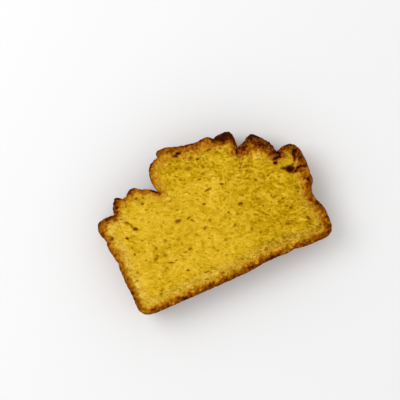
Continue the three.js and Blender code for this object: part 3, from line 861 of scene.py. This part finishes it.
@dataclass
class CutFace:
    """The torn crumb of the upper cut face and the cut edge of the crust round it.

    Attributes:
        rim: The outline of the slice.
        rings: Rings of quads from the heart of the face to its rim.
        calm: How far, in parts of the whole rim, its lobes are averaged away for the inner rings.
        streak_turn, streak_length: The way that the crumb is drawn out, in degrees from x, and by how
            much.
        wander, stir: How the streaks bend slowly, and are stirred in small.
        dimples, dimple_depth: The low waves of the face.
        relief: Height of the fine relief.
        torn_parts, lively: Where the crumb tore more and less, and where its relief is livelier.
        lumps, streaks, crests: The crumb's relief: lumps, streaks with grains, and crests.
        folds, curled: Noise whose zero crossings are the thin curls, and where they stand up.
        pinholes, pricks: The small pits of the crumb, and the finer ones near the crust.
        shallow_dents, shades: Soft round shallow dents of the crumb, with painted shade in them, and its
        slow changes of tone.
        front: How ragged the inner edge of the browned crust is.
        blotches, patches, flecks: The blotches and slower patches of the cut crust, and the pale
            flecks of the crust that lay against the tin.
        sag, rim_sag: Where its very edge sags, and how far.
        paleness: How the pale crumb inside the crust comes and goes.
        redness: How red the brown of its crust is.
    """

    rim: Rim
    rings: int
    calm: float = 0.05
    streak_turn: float = 148.0
    streak_length: float = 1.9
    wander: Stray = Stray(2.6, 16.0, (101, 103))
    stir: Stray = Stray(0.6, 2.6, (105, 107))
    dimples: Noise = Noise(9.0, 41)
    dimple_depth: float = 0.4
    relief: float = 0.85
    torn_parts: Layers = Layers(((0.35, 11.0, 109),))
    lively: Layers = Layers(((0.5, 6.5, 119),))
    lumps: Noise = Noise(4.0, 115)
    streaks: Layers = Layers(((0.24, 1.6, 113), (0.27, 0.8, 117)))
    crests: Noise = Noise(2.3, 111)
    folds: Noise = Noise(3.8, 141)
    curled: Layers = Layers(((0.8, 7.0, 143),))
    pinholes: Scatter = Scatter(1.8, 131, flat=True)
    pricks: Scatter = Scatter(1.4, 137, flat=True)
    shallow_dents: Scatter = Scatter(5.2, 133, flat=True)
    shades: Layers = Layers(((0.06, 13.0, 121), (0.04, 6.0, 123)))
    front: Layers = Layers(((0.2, 1.4, 145), (0.22, 3.2, 147)))
    blotches: Layers = Layers(((1.0, 1.6, 125), (0.5, 0.8, 127)))
    patches: Layers = Layers(((0.14, 5.0, 129),))
    flecks: Scatter = Scatter(2.3, 165, flat=True)
    sag: Noise = Noise(4.0, 149)
    rim_sag: float = 0.5
    paleness: Layers = Layers(((0.4, 3.4, 151),))
    redness: Redness = Redness(patchy=0.6)

    def along_rim(self, u: np.ndarray, v: np.ndarray) -> np.ndarray:
        """Find where points of the unit square's edge fall along the rim.

        Args:
            u, v: The points, with the larger of |u| and |v| equal to 1.

        Returns:
            Places in rim points, counted anticlockwise from the square's lower left corner.
        """
        n = self.rings
        sides = [v <= -1.0, u >= 1.0, v >= 1.0]
        return np.select(sides, [(u + 1) * n, (v + 3) * n, (5 - u) * n], (7 - v) * n) % self.rim.count

    def layout(self, edge: np.ndarray) -> np.ndarray:
        """Lay a square grid inside the rim.

        A square ring of the grid at reach r becomes heart + r * (calm - heart) + r^2 * (edge - calm),
        with calm the rim after its lobes are averaged away.

        Args:
            edge: The rim's points at the cut face.

        Returns:
            The grid's points, row after row.
        """
        steps = np.linspace(-1.0, 1.0, 2 * self.rings + 1)
        u, v = np.meshgrid(steps, steps)
        reach = np.maximum(np.abs(u), np.abs(v))
        whole = np.where(reach > 0.0, reach, 1.0)
        place = self.along_rim(np.round(u / whole, 9), np.round(v / whole, 9))
        before = np.floor(place).astype(int)
        after = (before + 1) % self.rim.count
        part = (place - before)[..., None]
        calm = spread_round(edge, self.calm * self.rim.count)
        outer = edge[before] * (1.0 - part) + edge[after] * part
        inner = calm[before] * (1.0 - part) + calm[after] * part
        r = reach[..., None]
        laid = self.rim.heart + r * (inner - self.rim.heart) + r**2 * (outer - inner)
        return laid.reshape(-1, 2)

    def from_rim(self, places: np.ndarray, edge: np.ndarray) -> tuple[np.ndarray, np.ndarray]:
        """Measure how far points of the face are from its rim.

        Args:
            places: The points.
            edge: The rim's points at the cut face.

        Returns:
            The distance to the nearest rim point, and that point's number.
        """
        nearest = np.full(len(places), np.inf)
        number = np.zeros(len(places), dtype=int)
        for i, (x, y) in enumerate(edge):
            away = (places[:, 0] - x) ** 2 + (places[:, 1] - y) ** 2
            closer = away < nearest
            nearest[closer] = away[closer]
            number[closer] = i
        return np.sqrt(nearest), number

    def drawn_out(self, level: np.ndarray) -> np.ndarray:
        """Stir the face's points and squeeze them along the streaks, so that noise reads drawn out.

        Args:
            level: The face's points.

        Returns:
            Where each point reads its noise, in the plane at height 0.
        """
        x, y = (level[:, :2] + self.wander.at(level) + self.stir.at(level)).T
        turn = math.radians(self.streak_turn)
        along = (x * math.cos(turn) + y * math.sin(turn)) / self.streak_length
        across = y * math.cos(turn) - x * math.sin(turn)
        return np.column_stack([along, across, np.zeros(len(level))])

    def torn(self, level: np.ndarray) -> np.ndarray:
        """Say how roughly the crumb tore: most in the upper right and under the dome.

        Args:
            level: The face's points.

        Returns:
            A number from 0 to 1 for each.
        """
        x, y = level[:, 0], level[:, 1]
        side = ease(x + 0.6 * y, 10.0, 60.0)
        dome = ease(y, 54.0, 66.0)
        return np.clip(0.15 + 0.75 * side + 0.4 * dome + self.torn_parts.at(level), 0.0, 1.0)

    def crumb(self, level: np.ndarray, drawn: np.ndarray, torn: np.ndarray) -> np.ndarray:
        """Work out the crumb's fine relief.

        It sums lumps, pale crumbs, and, livelier in some places than in others, streaks with grains
        and the crests (1 - 2.2 |n|)^1.5 of a noise. Where the crumb tore, thin curls stand up along
        the zero crossings of another, with a furrow on one side: exp(-(n/a)^2) - exp(-((n - b)/c)^2) / 2.

        Args:
            level: The face's points.
            drawn: The same, drawn out along the streaks.
            torn: How roughly it tore at each.

        Returns:
            The height at each point, about 0.5 in the mean, from 0 in a hollow to 1 on a ridge.
        """
        crests = np.clip(1.0 - 2.2 * np.abs(self.crests.at(drawn)), 0.0, 1.0) ** 1.5 - 0.25
        lively = np.clip(0.65 + 0.35 * torn + self.lively.at(level), 0.3, 1.4)
        fine = lively * (self.streaks.at(drawn) + (0.08 + 0.2 * torn) * crests)
        fold = self.folds.at(drawn)
        curl = np.exp(-((fold / 0.12) ** 2)) - 0.5 * np.exp(-(((fold - 0.27) / 0.13) ** 2))
        curled = ease(torn + self.curled.at(level), 0.6, 1.1)
        lumps = (0.11 + 0.05 * torn) * self.lumps.at(drawn)
        return 0.5 + lumps + fine + 0.14 * curled * curl + 0.14 * crumbs(level)

    def pits(
        self, level: np.ndarray, drawn: np.ndarray, torn: np.ndarray, crust_near: np.ndarray
    ) -> np.ndarray:
        """Open the small pits between the named pores: more where it tore, and fine ones near the crust.

        Args:
            level: The face's points.
            drawn: The same, drawn out along the streaks.
            torn: How roughly it tore at each.
            crust_near: How near the crust each is, from 0 to 1.

        Returns:
            The depth of the pits, from 0 to 1.
        """
        near, own = self.pinholes.near(drawn)
        kept = ease(own, 0.84 - 0.42 * torn, 0.92 - 0.42 * torn)
        pits = kept * np.sqrt(np.clip(1.0 - near / (0.1 + 0.17 * own), 0.0, 1.0))
        near, own = self.pricks.near(level)
        pricks = crust_near * ease(own, 0.5, 0.6) * np.sqrt(np.clip(1.0 - near / 0.27, 0.0, 1.0))
        return np.maximum(pits, pricks)

    def dim(self, level: np.ndarray) -> np.ndarray:
        """Strew soft round shallow dents in the crumb, from 0 to 1, which get painted shade."""
        near, own = self.shallow_dents.near(level)
        return ease(own, 0.35, 0.8) * np.exp(-((near / (0.12 + 0.16 * own)) ** 2))

    def tone(self, level: np.ndarray) -> np.ndarray:
        """Say how much darker parts of the crumb are: to the right, under the dome and low down.

        Args:
            level: The face's points.

        Returns:
            What is taken off the lift of each.
        """
        x, y = level[:, 0], level[:, 1]
        right = 0.19 * ease(x, 2.0, 30.0) + 0.1 * ease(x, 38.0, 52.0)
        dome = 0.2 * ease(y, 48.0, 66.0)
        low = 0.14 * (1.0 - ease(y, 5.0, 12.0))
        return right + dome + low + self.shades.at(level)

    def browned(self, level: np.ndarray, share: np.ndarray, number: np.ndarray) -> np.ndarray:
        """Brown the cut edge of the crust: cut * (1 - share^fade), with blotches and stains.

        Where it lay against the tin the blotches are weaker, and round pale flecks are strewn in it.

        Args:
            level: The face's points.
            share: How far in from the rim each is, as a part of the crust's thickness.
            number: The rim point that each is nearest to.

        Returns:
            How brown each point is, from 0 to 1.
        """
        tin = self.rim.tin[number]
        near, own = self.flecks.near(level)
        fleck = ease(own, 0.45, 0.7) * np.exp(-((near / 0.3) ** 2))
        mottle = 0.17 * blotched(self.blotches.at(level)) + self.patches.at(level)
        mottle = mottle * (1.0 - 0.28 * tin) + 0.04 - 0.28 * tin * fleck
        bake = self.rim.cut[number] * (1.0 - np.clip(share, 0.0, 1.0) ** self.rim.fade[number])
        return np.clip(bake + mottle * (1.0 - ease(share, 0.7, 1.1)) + stained(level), 0.0, 1.0)

    def sheet(self, edge: np.ndarray) -> Sheet:
        """Work out the whole face.

        It sinks below its level by low waves, by the hollows of the crumb, by pits and by the bowls of
        the named openings, and less so in the crust. The brown fades out over the crust's thickness,
        with a front that is ragged, a little less so against the tin.

        Args:
            edge: The rim's points at the cut face.

        Returns:
            The face's points, row after row.
        """
        places = self.layout(edge)
        level = np.column_stack([places, np.zeros(len(places))])
        distance, number = self.from_rim(places, edge)
        thick, tin = self.rim.thick[number], self.rim.tin[number]
        front = self.front.at(level) * (1.0 - 0.35 * tin)
        share = distance / thick + front * ease(distance, 0.0, 1.5)
        inside = ease(share, 0.35, 0.95)
        near = inside * (1.0 - ease(distance - thick, 1.0, 5.0))
        drawn, torn = self.drawn_out(level), self.torn(level)
        relief = self.crumb(level, drawn, torn)
        pits, dim = self.pits(level, drawn, torn, near) * inside, self.dim(level) * inside
        named = Openings.over(level)
        waves = self.dimple_depth * (0.5 + 0.5 * self.dimples.at(level))
        hollows = (0.4 + 0.6 * inside) * self.relief * (1.05 - relief)
        sink = (inside * waves + hollows + 0.5 * pits + 0.25 * dim) * ease(distance, -0.3, 0.9)
        sink += self.rim_sag * (1.0 - ease(distance, 0.0, 2.0)) * (0.5 + 0.5 * self.sag.at(level))
        sink = np.maximum(sink, named.depth)
        points = np.column_stack([places, THICKNESS - np.clip(sink, 0.0, None)])
        # The lift paints the relief's light and shade into the crumb: hollows and pits darker as painted
        # shade, ridges paler as painted highlight; tone darkens some parts further.
        lift = np.clip(0.58 + 1.05 * (relief - 0.5) - self.tone(level) - 0.2 * pits, 0.0, 1.0)
        pale = self.rim.pale[number] * near * np.clip(0.75 + self.paleness.at(level), 0.0, 1.0)
        pale = np.maximum(pale, 0.5 * crumbs(level))
        bake = self.browned(level, share, number)
        crusty = ease(bake, 0.22, 0.46)
        # Painted shade inside the named openings, the pits and the shallow dents, except where the crust
        # covers them.
        pore_shade = np.maximum(named.dark, np.maximum((0.3 + 0.12 * torn) * pits, 0.18 * dim)) * (1.0 - crusty)
        # The tears in the crust are painted darker, as shade.
        bake = np.clip(bake + 0.55 * crusty * named.dark, 0.0, 1.0)
        return Sheet(points, lift, bake, pale, pore_shade, self.redness.at(level, tin))

    def rim_numbers(self) -> np.ndarray:
        """The grid's numbers of its outermost points, anticlockwise from its lower left corner."""
        grid = self.numbers()
        return np.concatenate([grid[0, :-1], grid[:-1, -1], grid[-1, :0:-1], grid[:0:-1, 0]])

    def numbers(self) -> np.ndarray:
        """The numbers of the grid's points, as the grid."""
        side = 2 * self.rings + 1
        return np.arange(side * side).reshape(side, side)

    def triangles(self, points: np.ndarray) -> np.ndarray:
        """Split each quad of the grid along the diagonal that leaves the fuller halves.

        Args:
            points: The grid's points.

        Returns:
            Three point numbers for each triangle.
        """
        grid = self.numbers()
        corners = [grid[:-1, :-1], grid[:-1, 1:], grid[1:, 1:], grid[1:, :-1]]
        quads = np.stack(corners, axis=-1).reshape(-1, 4)

        def area(*picked: int) -> np.ndarray:
            """Twice the area of one triangle of each quad, as seen from above."""
            a, b, c = (points[quads[:, corner], :2] for corner in picked)
            return (b - a)[:, 0] * (c - a)[:, 1] - (b - a)[:, 1] * (c - a)[:, 0]

        straight = np.minimum(area(0, 1, 2), area(0, 2, 3)) >= np.minimum(area(1, 2, 3), area(1, 3, 0))
        first = np.where(straight[:, None], quads[:, [0, 1, 2]], quads[:, [1, 2, 3]])
        second = np.where(straight[:, None], quads[:, [0, 2, 3]], quads[:, [1, 3, 0]])
        return np.vstack([first, second])


@dataclass
class Slice:
    """The whole slice as one closed surface.

    Attributes:
        rings: Rings of quads of the cut face.
        under: Size of the crumb in the resting face, as a part of the whole face.
    """

    rings: int = 118
    under: float = 0.95

    def __post_init__(self) -> None:
        """Lay out the rim, and the crust and the face that share it."""
        self.rim = Rim(8 * self.rings)
        self.crust = Crust(self.rim)
        self.face = CutFace(self.rim, self.rings)

    def fitted(self, points: np.ndarray) -> np.ndarray:
        """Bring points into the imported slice's own box.

        Args:
            points: All of the slice's points, in millimetres.

        Returns:
            The same in metres, stretched along each axis to fill the box.
        """
        low, high = (np.array(corner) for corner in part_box(NODE))
        least, most = points.min(axis=0), points.max(axis=0)
        log.info("drawn size: %s", np.round(most - least, 2))
        return low + (points - least) * (high - low) / (most - least)

    def build(self) -> bpy.types.Object:
        """Join the cut face, the crust and the flat resting face.

        Returns:
            The piece, with what its finish reads as attributes.
        """
        count = self.rim.count
        crust = self.crust.sheet()
        face = self.face.sheet(crust.points[:count, :2])
        first = len(face.points)
        below = first + np.arange((self.crust.levels + 1) * count).reshape(-1, count)
        rows = np.vstack([self.face.rim_numbers(), below])
        upper, lower = rows[:-1], rows[1:]
        upper_next, lower_next = np.roll(upper, -1, axis=1), np.roll(lower, -1, axis=1)
        hub = rows[-1, -1] + 1
        triangles = [
            self.face.triangles(face.points),
            np.stack([upper, lower, lower_next], axis=-1).reshape(-1, 3),
            np.stack([upper, lower_next, upper_next], axis=-1).reshape(-1, 3),
            np.column_stack([np.full(count, hub), lower_next[-1], lower[-1]]),
        ]
        heart = np.array([*self.rim.heart, 0.0])
        under = heart + self.under * (crust.points[-count:] - heart)
        points = self.fitted(np.vstack([face.points, crust.points[count:], under, heart]))
        facts = {
            name: np.concatenate(
                [getattr(face, name), getattr(crust, name)[count:], np.full(count + 1, value)]
            )
            for name, value in (("lift", 0.5), ("bake", 0.0), ("pale", 0.2), ("pore_shade", 0.0), ("warm", 0.5))
        }
        return make_piece("corn_bread", points, np.vstack(triangles), facts)


def make_piece(
    name: str, points: np.ndarray, triangles: np.ndarray, facts: dict[str, np.ndarray]
) -> bpy.types.Object:
    """Make a smooth-shaded mesh object at the origin.

    Args:
        name: The piece's name.
        points: Its points, in metres.
        triangles: Three point numbers in each row.
        facts: Numbers for each point, by the name of their attribute.

    Returns:
        The object, linked into the scene.
    """
    mesh = bpy.data.meshes.new(name)
    mesh.from_pydata(points, [], triangles.tolist())
    mesh.polygons.foreach_set("use_smooth", np.ones(len(triangles), dtype=bool))
    for fact, values in facts.items():
        attribute = mesh.attributes.new(fact, "FLOAT", "POINT")
        attribute.data.foreach_set("value", values.astype(np.float32))
    mesh.update()
    piece = bpy.data.objects.new(name, mesh)
    bpy.context.scene.collection.objects.link(piece)
    return piece


# ---- Finishes.

LIGHT_LEVEL = 1.05  # brightness, on a flat white surface, of the studio's light
SMALLEST = 1e-4  # the least light that a surface gives back


def shade(red: int, green: int, blue: int) -> tuple[float, float, float, float]:
    """Turn a colour as seen in the picture, 0 to 255, into the surface's own colour.

    Args:
        red, green, blue: The colour under the studio's light.

    Returns:
        The share of light that the surface gives back, with full opacity.
    """
    parts = [value / 255.0 for value in (red, green, blue)]
    light = [p / 12.92 if p <= 0.04045 else ((p + 0.055) / 1.055) ** 2.4 for p in parts]
    return (*(max(value / LIGHT_LEVEL, SMALLEST) for value in light), 1.0)


def colour_stops(*rows: tuple[float, int, int, int]) -> tuple[tuple[float, tuple], ...]:
    """Lay colours out on a ramp: each row is a place on it and the red, green and blue seen there."""
    return tuple((place, shade(*colour)) for place, *colour in rows)


class Nodes:
    """A short way to lay out a material's nodes."""

    def __init__(self, material: bpy.types.Material) -> None:
        """Empty a material's tree and keep hold of it.

        Args:
            material: The material.
        """
        material.use_nodes = True
        self.tree = material.node_tree
        self.tree.nodes.clear()

    def add(self, kind: str, settings: dict | None = None, **inputs: object) -> bpy.types.Node:
        """Add one node.

        Args:
            kind: The node's type.
            settings: Its own settings, by name.
            **inputs: Values or sockets for its inputs, by name with _ for a space.

        Returns:
            The node.
        """
        node = self.tree.nodes.new(kind)
        for name, value in (settings or {}).items():
            setattr(node, name, value)
        for name, value in inputs.items():
            self.feed(node.inputs[name.replace("_", " ")], value)
        return node

    def feed(self, socket: bpy.types.NodeSocket, value: object) -> None:
        """Feed a socket.

        Args:
            socket: The input socket.
            value: Its value, or another node's socket that it is linked to.
        """
        if isinstance(value, bpy.types.NodeSocket):
            self.tree.links.new(value, socket)
        else:
            socket.default_value = value

    def fact(self, name: str) -> bpy.types.NodeSocket:
        """Read one of the mesh's attributes."""
        return self.add("ShaderNodeAttribute", {"attribute_name": name}).outputs["Fac"]

    def math(self, operation: str, *values: object, clamp: bool = False) -> bpy.types.NodeSocket:
        """Work out one operation on numbers.

        Args:
            operation: Its name.
            *values: The numbers or sockets that it takes.
            clamp: Whether the result is kept from 0 to 1.

        Returns:
            The result's socket.
        """
        node = self.add("ShaderNodeMath", {"operation": operation, "use_clamp": clamp})
        for socket, value in zip(node.inputs, values):
            self.feed(socket, value)
        return node.outputs[0]

    def noise(self, place: bpy.types.NodeSocket, scale: float, detail: float) -> bpy.types.NodeSocket:
        """Fine noise in the piece's own frame, from -1 to 1."""
        node = self.add("ShaderNodeTexNoise", Vector=place, Scale=scale, Detail=detail)
        return self.math("MULTIPLY_ADD", node.outputs["Fac"], 2.0, -1.0)

    def swung(self, value: object, *swings: tuple[bpy.types.NodeSocket, float]) -> bpy.types.NodeSocket:
        """Swing a number by noises and keep it from 0 to 1.

        Args:
            value: The number or its socket.
            *swings: Each noise with the amount that it is multiplied by.

        Returns:
            The swung number's socket.
        """
        for swing, amount in swings:
            value = self.math("MULTIPLY_ADD", swing, amount, value)
        return self.math("ADD", value, 0.0, clamp=True)

    def ramp(self, amount: object, stops: tuple[tuple[float, tuple], ...]) -> bpy.types.NodeSocket:
        """Turn a number into a colour.

        Args:
            amount: The number's socket.
            stops: The places and colours along the ramp.

        Returns:
            The colour.
        """
        node = self.add("ShaderNodeValToRGB", Fac=amount)
        elements = node.color_ramp.elements
        while len(elements) < len(stops):
            elements.new(0.5)
        for element, (place, colour) in zip(elements, stops):
            element.position = place
            element.color = colour
        return node.outputs["Color"]

    def mix(self, amount: object, below: object, above: object) -> bpy.types.NodeSocket:
        """Blend two colours.

        Args:
            amount: How much of the second shows, from 0 to 1.
            below, above: The first and second colour, or their sockets.

        Returns:
            The blend's socket.
        """
        node = self.add("ShaderNodeMix", {"data_type": "RGBA"})
        factor, first, second = (node.inputs[number] for number in (0, 6, 7))
        self.feed(factor, amount)
        self.feed(first, below)
        self.feed(second, above)
        return node.outputs[2]


@dataclass(frozen=True)
class CornBread:
    """The finish of the bread: golden crumb, paler near the crust, and crust from tan to nearly black.

    Attributes:
        crumb: Colours of the crumb, from painted shade in its hollows to painted highlight on its ridges.
        pale: Colours of the fine crumb inside the crust.
        inside: Painted shade in an opening, from its lip to its depth.
        dull, warm: Colours of the crust where it is least and most red, from pale to dark.
        roughness: The roughness of the whole.
        gloss: The strength of its reflections.
        speckle_scale, grain_scale: How fine its coarser and finer noise are, in waves for each metre.
        bump, bump_height: How strong the noise's relief looks, and its height in metres.
    """

    crumb: tuple = colour_stops(
        (0.0, 136, 98, 0), (0.2, 165, 126, 0), (0.4, 191, 150, 6), (0.6, 214, 171, 30),
        (0.8, 229, 187, 54), (1.0, 243, 207, 98),
    )
    pale: tuple = colour_stops(
        (0.0, 150, 98, 20), (0.3, 206, 158, 50), (0.6, 228, 188, 86), (1.0, 240, 210, 128),
    )
    inside: tuple = colour_stops(
        (0.0, 196, 152, 12), (0.35, 158, 112, 4), (0.7, 112, 58, 2), (1.0, 60, 14, 0),
    )
    dull: tuple = colour_stops(
        (0.0, 210, 172, 54), (0.15, 196, 158, 42), (0.3, 176, 138, 27), (0.45, 156, 116, 13),
        (0.6, 136, 94, 4), (0.75, 109, 69, 0), (0.88, 80, 45, 0), (1.0, 48, 23, 0),
    )
    warm: tuple = colour_stops(
        (0.0, 214, 159, 40), (0.15, 200, 141, 28), (0.3, 182, 113, 16), (0.45, 162, 86, 8),
        (0.6, 140, 65, 3), (0.75, 111, 41, 0), (0.88, 80, 19, 0), (1.0, 48, 6, 0),
    )
    roughness: float = 0.8
    gloss: float = 0.02
    speckle_scale: float = 1300.0
    grain_scale: float = 2600.0
    bump: float = 0.6
    bump_height: float = 0.00025

    def material(self) -> bpy.types.Material:
        """Lay out the finish: crumb with painted shade in its hollows and highlights on its ridges, with
        pale crumb and the painted shade of openings blended in, and crust over both.

        Returns:
            The material, which reads the piece's attributes and its Object coordinates.
        """
        material = bpy.data.materials.new("corn_bread")
        nodes = Nodes(material)
        place = nodes.add("ShaderNodeTexCoord").outputs["Object"]
        speckle = nodes.noise(place, self.speckle_scale, 2.0)
        grain = nodes.noise(place, self.grain_scale, 2.0)
        lift, bake, pale, pore_shade, warm = map(nodes.fact, ("lift", "bake", "pale", "pore_shade", "warm"))
        # The crumb's colour follows the height of its relief: painted shade in the hollows, painted
        # highlight on the ridges.
        crumb = nodes.ramp(nodes.swung(lift, (speckle, 0.3), (grain, 0.2)), self.crumb)
        fine = nodes.ramp(nodes.swung(lift, (speckle, 0.7), (grain, 0.4)), self.pale)
        crumb = nodes.mix(nodes.math("MULTIPLY", pale, 0.8), crumb, fine)
        # Painted shade inside openings, pits and shallow dents.
        opened = nodes.math("MULTIPLY", pore_shade, 2.6, clamp=True)
        crumb = nodes.mix(opened, crumb, nodes.ramp(nodes.swung(pore_shade, (speckle, 0.15)), self.inside))
        toasted = nodes.swung(bake, (speckle, 0.28), (grain, 0.16))
        crust = nodes.mix(warm, nodes.ramp(toasted, self.dull), nodes.ramp(toasted, self.warm))
        browned = nodes.math("MULTIPLY", nodes.swung(bake, (speckle, 0.1)), 5.0, clamp=True)
        shut = nodes.math("SUBTRACT", 1.0, nodes.math("MULTIPLY", pore_shade, 1.2), clamp=True)
        colour = nodes.mix(nodes.math("MULTIPLY", browned, shut), crumb, crust)
        height = nodes.math("MULTIPLY_ADD", grain, 0.6, speckle)
        bump = nodes.add("ShaderNodeBump", Strength=self.bump, Distance=self.bump_height, Height=height)
        surface = nodes.add(
            "ShaderNodeBsdfPrincipled", Base_Color=colour, Roughness=self.roughness, Normal=bump.outputs[0]
        )
        surface.inputs["Specular IOR Level"].default_value = self.gloss
        nodes.add("ShaderNodeOutputMaterial", Surface=surface.outputs[0])
        return material


@dataclass(frozen=True)
class FloorPaint:
    """The matt paint of the studio's floor.

    Attributes:
        colour: Its own colour.
        roughness: Its roughness.
    """

    colour: tuple = (0.8, 0.8, 0.8, 1.0)
    roughness: float = 0.95

    def material(self) -> bpy.types.Material:
        """Lay out the plain paint.

        Returns:
            The material.
        """
        material = bpy.data.materials.new("floor_paint")
        nodes = Nodes(material)
        surface = nodes.add("ShaderNodeBsdfPrincipled", Base_Color=self.colour, Roughness=self.roughness)
        nodes.add("ShaderNodeOutputMaterial", Surface=surface.outputs[0])
        return material


# ---- The studio.


@dataclass(frozen=True)
class Studio:
    """The pale floor, the soft light and the camera.

    Attributes:
        picture: The picture's width and height, in pixels.
        slice_pixel: The pixel on which the middle of the slice falls.
        roll: How far the slice is turned anticlockwise in the picture, in degrees.
        mm_per_pixel: The scale of the picture just below the upper cut face.
        sight_depth: How far below that face the scale holds, in millimetres.
        lens, sensor: The camera's focal length and sensor width.
        floor_reach: Half the width of the floor, in metres.
        lamp_place, lamp_size, lamp_power: Where the soft light hangs and how wide it is, in metres,
            and its watts.
        sky: Strength of the even light from all round.
    """

    picture: float = 400.0
    slice_pixel: tuple[float, float] = (207.9, 209.4)
    roll: float = 24.29
    mm_per_pixel: float = 0.5155
    sight_depth: float = 2.0
    lens: float = 100.0
    sensor: float = 36.0
    floor_reach: float = 3.0
    lamp_place: tuple[float, float, float] = (-0.35, 0.4, 0.8)
    lamp_size: float = 0.6
    lamp_power: float = 4.0
    sky: float = 0.85

    def camera(self) -> bpy.types.Object:
        """Hang the camera straight above the slice, turned so that the slice lies as in the picture.

        Returns:
            The camera, set as the scene's.
        """
        turn = math.radians(self.roll)
        right = np.array([math.cos(turn), -math.sin(turn)])
        up = np.array([math.sin(turn), math.cos(turn)])
        across = self.picture / 2.0 - self.slice_pixel[0]
        along = self.slice_pixel[1] - self.picture / 2.0
        low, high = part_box(NODE)
        middle = np.array([(low.x + high.x) / 2.0, (low.y + high.y) / 2.0])
        above = middle + (right * across + up * along) * self.mm_per_pixel * MM
        data = bpy.data.cameras.new("camera")
        data.lens = self.lens
        data.sensor_width = self.sensor
        distance = self.picture * self.mm_per_pixel * MM * self.lens / self.sensor
        camera = bpy.data.objects.new("camera", data)
        camera.location = (above[0], above[1], high.z - self.sight_depth * MM + distance)
        camera.rotation_euler = (0.0, 0.0, -turn)
        bpy.context.scene.collection.objects.link(camera)
        bpy.context.scene.camera = camera
        return camera

    def floor(self) -> bpy.types.Object:
        """Spread the plain pale floor.

        Returns:
            The floor, which is no part of the slice.
        """
        reach = self.floor_reach
        corners = np.array([[-reach, -reach, 0], [reach, -reach, 0], [reach, reach, 0], [-reach, reach, 0]])
        floor = make_piece("floor", corners, np.array([[0, 1, 2], [0, 2, 3]]), {})
        floor.data.materials.append(FloorPaint().material())
        return floor

    def lamp(self) -> None:
        """Hang one square soft light that faces the slice, at its upper left."""
        data = bpy.data.lights.new("key", "AREA")
        data.size = self.lamp_size
        data.energy = self.lamp_power
        lamp = bpy.data.objects.new("key", data)
        lamp.location = self.lamp_place
        lamp.rotation_euler = Vector(self.lamp_place).to_track_quat("Z", "Y").to_euler()
        bpy.context.scene.collection.objects.link(lamp)

    def surroundings(self) -> None:
        """Light the slice evenly from all round, with its colours shown as they are."""
        world = bpy.data.worlds.new("world")
        world.use_nodes = True
        background = world.node_tree.nodes["Background"]
        background.inputs["Color"].default_value = (1.0, 1.0, 1.0, 1.0)
        background.inputs["Strength"].default_value = self.sky
        bpy.context.scene.world = world
        bpy.context.scene.view_settings.view_transform = "Standard"


def main() -> None:
    """Build the slice and its studio in order."""
    logging.basicConfig(level=logging.INFO, format="%(name)s: %(message)s")
    studio = Studio()
    studio.camera()
    studio.floor()
    studio.lamp()
    studio.surroundings()
    log.info("studio ready")
    piece = Slice().build()
    piece.data.materials.append(CornBread().material())
    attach(piece, "root")
    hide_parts(NODE)
    log.info("%s: %d triangles", piece.name, len(piece.data.polygons))


if __name__ == "__main__":
    main()
